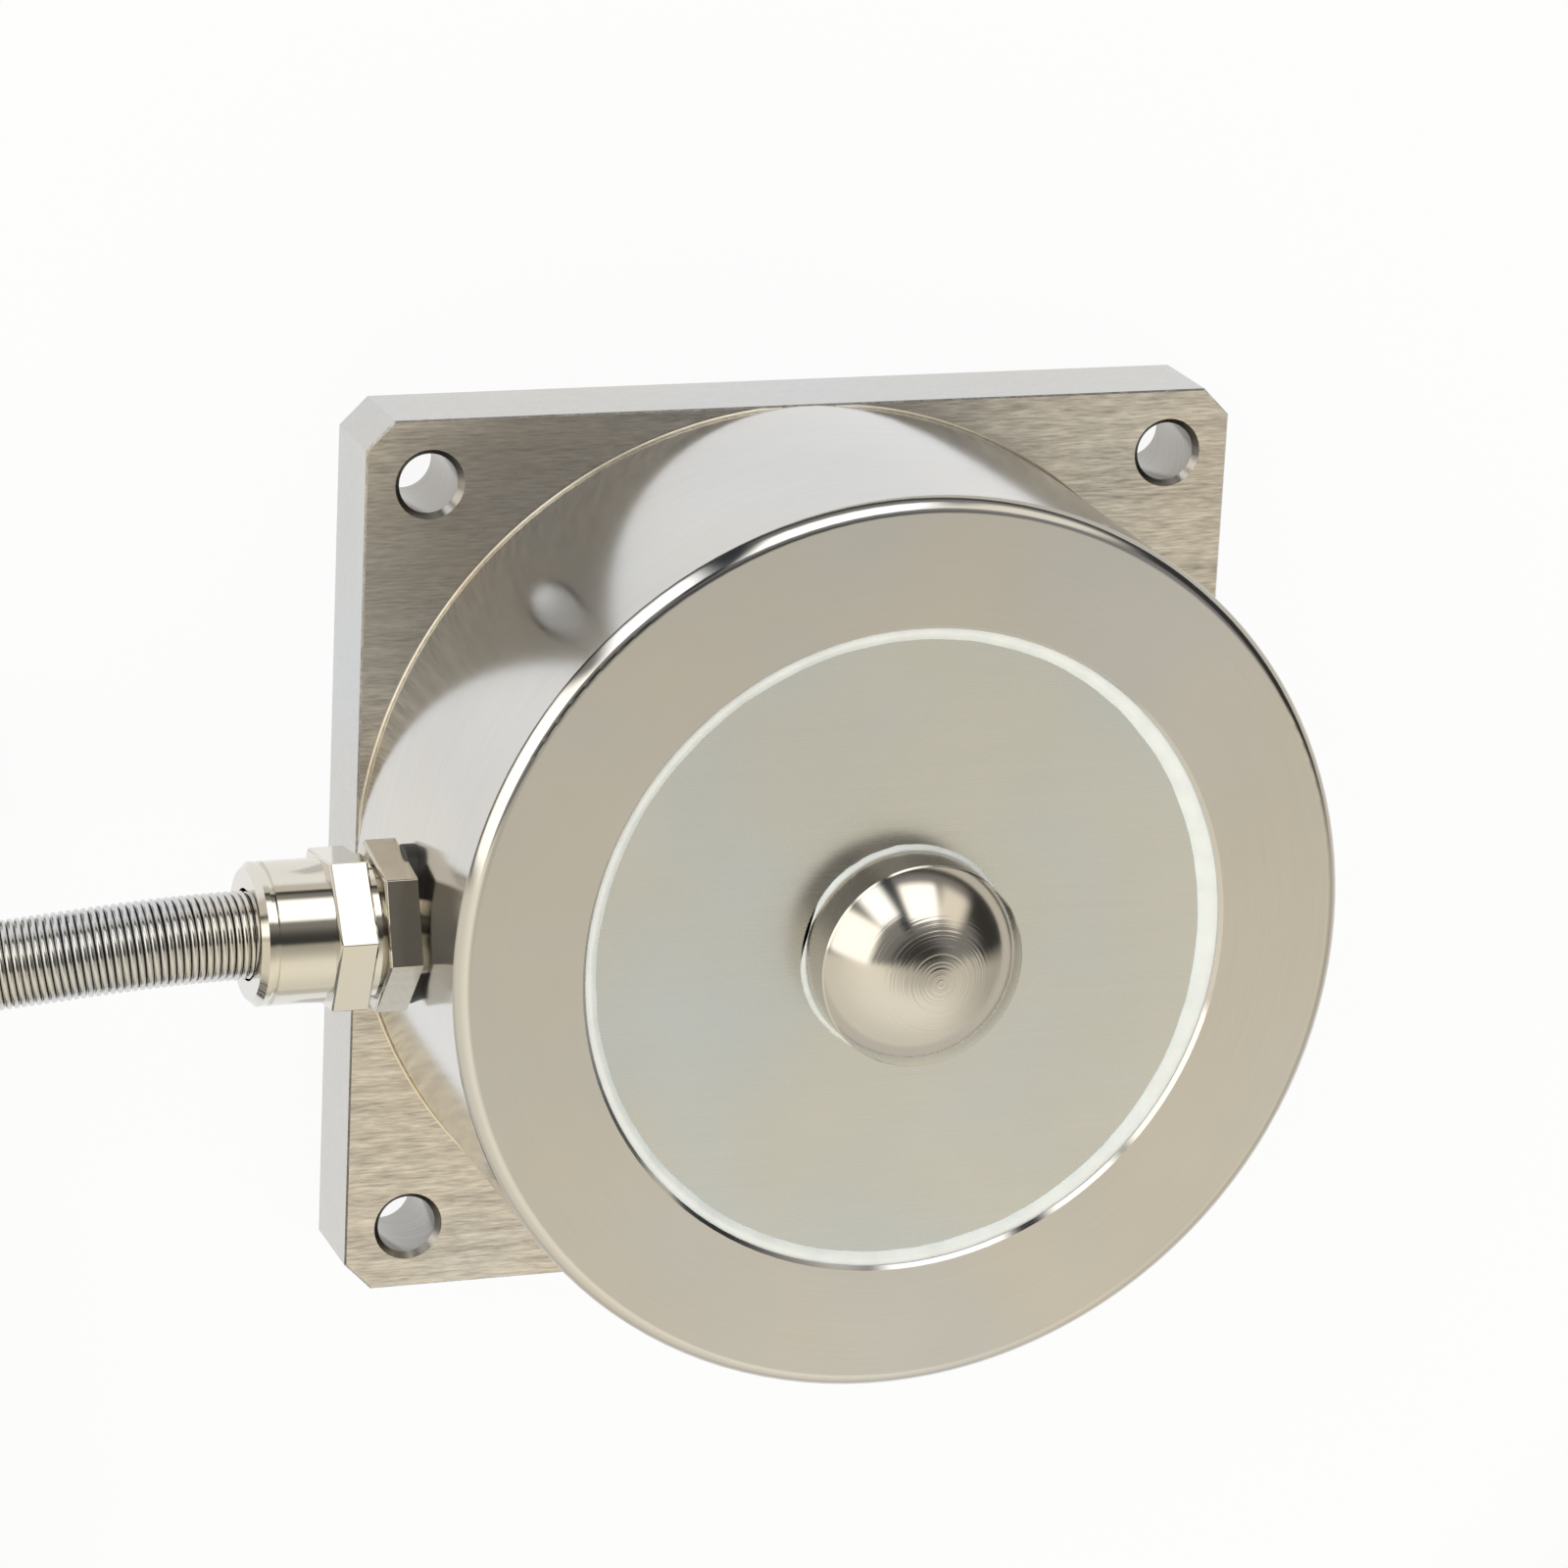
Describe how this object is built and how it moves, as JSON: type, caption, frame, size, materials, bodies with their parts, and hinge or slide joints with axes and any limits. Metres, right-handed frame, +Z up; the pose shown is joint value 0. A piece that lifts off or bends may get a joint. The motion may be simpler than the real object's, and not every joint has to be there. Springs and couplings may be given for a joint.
{
  "type": "compression load cell",
  "caption": "Spoke-wheel compression load cell: square flanged base, round drum with a recessed cover, domed load button and an armoured lead from the side, coiled, with a plug.",
  "frame": {"origin": "centre of the square base's underside, on the load axis", "axes": "+Z up the load axis towards the load button's dome, -X the way the lead leaves the drum, +Y to the flange's left side seen from there"},
  "size_m": [0.2879, 0.1934, 0.0607],
  "materials": {
    "machined_steel": "fine machined and hand polished, satin with a mirror rim",
    "button_steel": "turned and polished, fine rings round the apex",
    "cover_steel": "straight brushed grain, satin",
    "white_sealant": "cured silicone, hand laid, soft sheen",
    "gauge_foil": "amber backing with a metal grid",
    "harness_wire": "enamelled wire, laced",
    "board_green": "solder mask",
    "resistor_body": "moulded chip",
    "core_red": "insulated core",
    "core_black": "insulated core",
    "core_green": "insulated core",
    "core_white": "insulated core",
    "cable_jacket": "extruded jacket",
    "gland_nickel": "nickel plated brass, glossy",
    "gland_rubber": "moulded black rubber",
    "armour_steel": "close-wound stainless armour, bright",
    "tie_nylon": "moulded nylon",
    "insert_black": "moulded insert",
    "pin_brass": "gold flashed"
  },
  "bodies": {
    "root": {"load_cell_body": "machined_steel", "load_button": "button_steel", "top_cover": "cover_steel", "bottom_cover": "cover_steel", "rim_sealant": "white_sealant", "button_sealant": "white_sealant", "bottom_sealant": "white_sealant", "gauge_harness": "harness_wire", "terminal_board": "board_green", "core_red": "core_red", "core_black": "core_black", "core_green": "core_green", "core_white": "core_white", "inner_cable": "cable_jacket", "gland_gasket": "gland_rubber", "gland_body": "gland_nickel", "gland_seal": "gland_rubber", "clamp_ring": "gland_nickel", "gland_cap": "gland_nickel", "armoured_lead": "armour_steel", "lead_tail": "armour_steel", "lead_coil": "armour_steel", "plug_nut": "gland_nickel", "plug_shell": "gland_nickel", "plug_ring": "gland_nickel", "plug_insert": "insert_black", "plug_pins": "pin_brass", "strain_gauge_1": "gauge_foil", "strain_gauge_2": "gauge_foil", "strain_gauge_3": "gauge_foil", "strain_gauge_4": "gauge_foil", "strain_gauge_5": "gauge_foil", "strain_gauge_6": "gauge_foil", "strain_gauge_7": "gauge_foil", "strain_gauge_8": "gauge_foil", "trim_resistor_1": "resistor_body", "coil_tie_1": "tie_nylon", "trim_resistor_2": "resistor_body", "coil_tie_2": "tie_nylon", "trim_resistor_3": "resistor_body", "coil_tie_3": "tie_nylon"}
  },
  "joints": []
}
